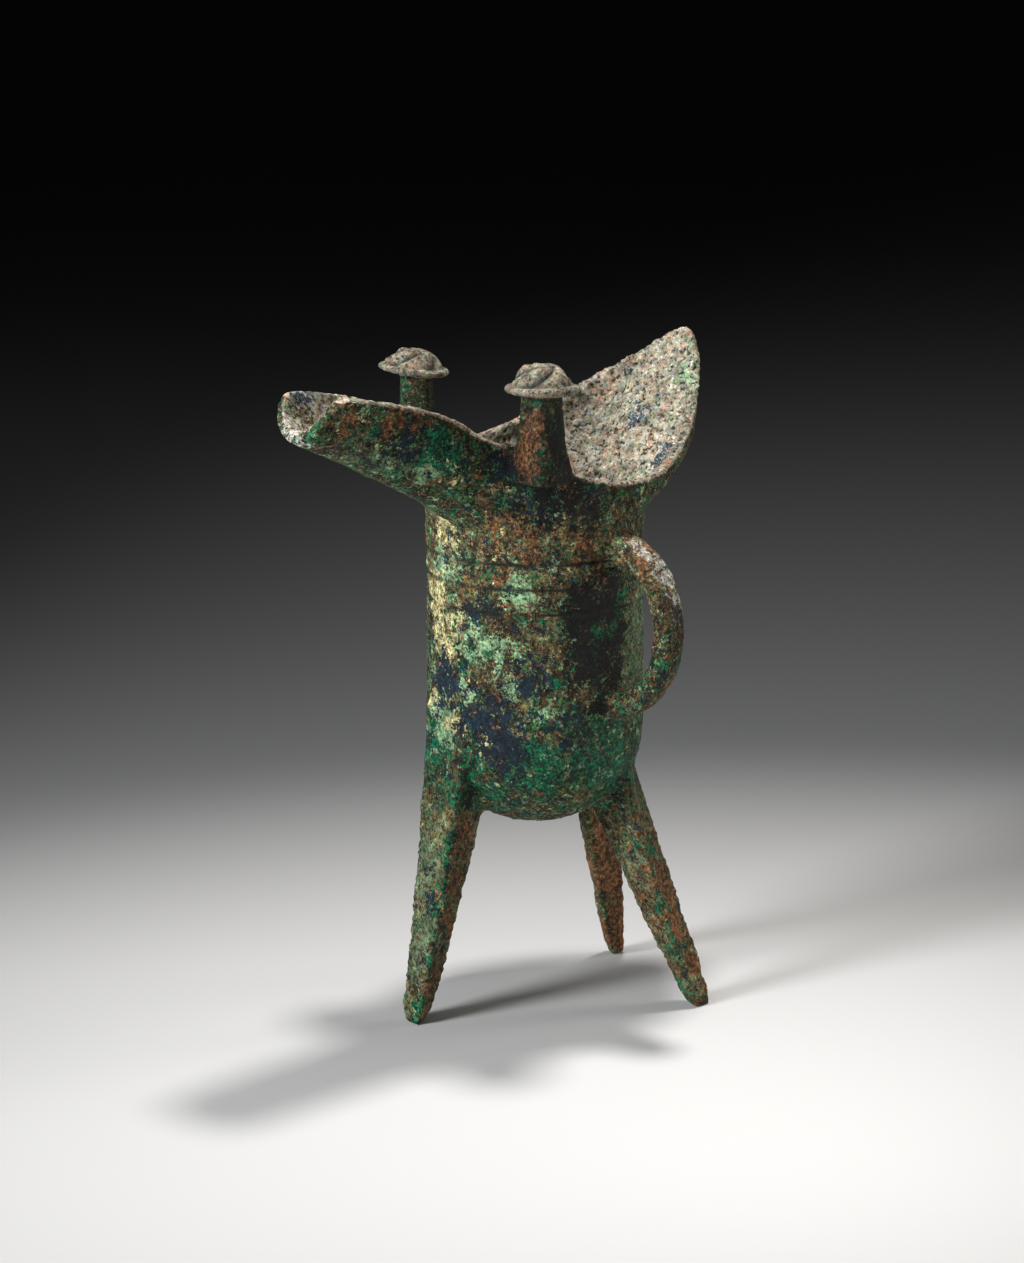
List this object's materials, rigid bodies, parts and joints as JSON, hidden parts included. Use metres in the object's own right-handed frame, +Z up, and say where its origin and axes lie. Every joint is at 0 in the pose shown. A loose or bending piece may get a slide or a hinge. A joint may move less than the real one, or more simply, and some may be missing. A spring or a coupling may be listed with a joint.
{
  "type": "jue wine vessel",
  "caption": "Ancient style bronze tripod wine cup with a long pouring spout, a pointed tail, capped rim posts and a strap handle, in a mottled green patina.",
  "frame": {"origin": "centre of the vessel's plan extents, at the level its feet stand on", "axes": "+Z up; the spout points along -X and the tail along +X; the handle is on the -Y side"},
  "size_m": [0.1512, 0.0838, 0.1864],
  "materials": {
    "cup_bronze": "mottled malachite and cuprite patina over cast bronze, matte",
    "mouth_bronze": "bright malachite patina with azurite and pale crust, matte",
    "leg_bronze": "pitted grey green patina with orange brown faces, matte",
    "post_bronze": "brown and green patina, matte",
    "cap_bronze": "pale encrusted patina, matte",
    "handle_bronze": "mottled green patina, matte"
  },
  "bodies": {
    "root": {"cup": "cup_bronze", "mouth": "mouth_bronze", "near_post": "post_bronze", "near_cap": "cap_bronze", "far_post": "post_bronze", "far_cap": "cap_bronze", "handle": "handle_bronze", "spout_leg": "leg_bronze", "handle_leg": "leg_bronze", "tail_leg": "leg_bronze"}
  },
  "joints": []
}
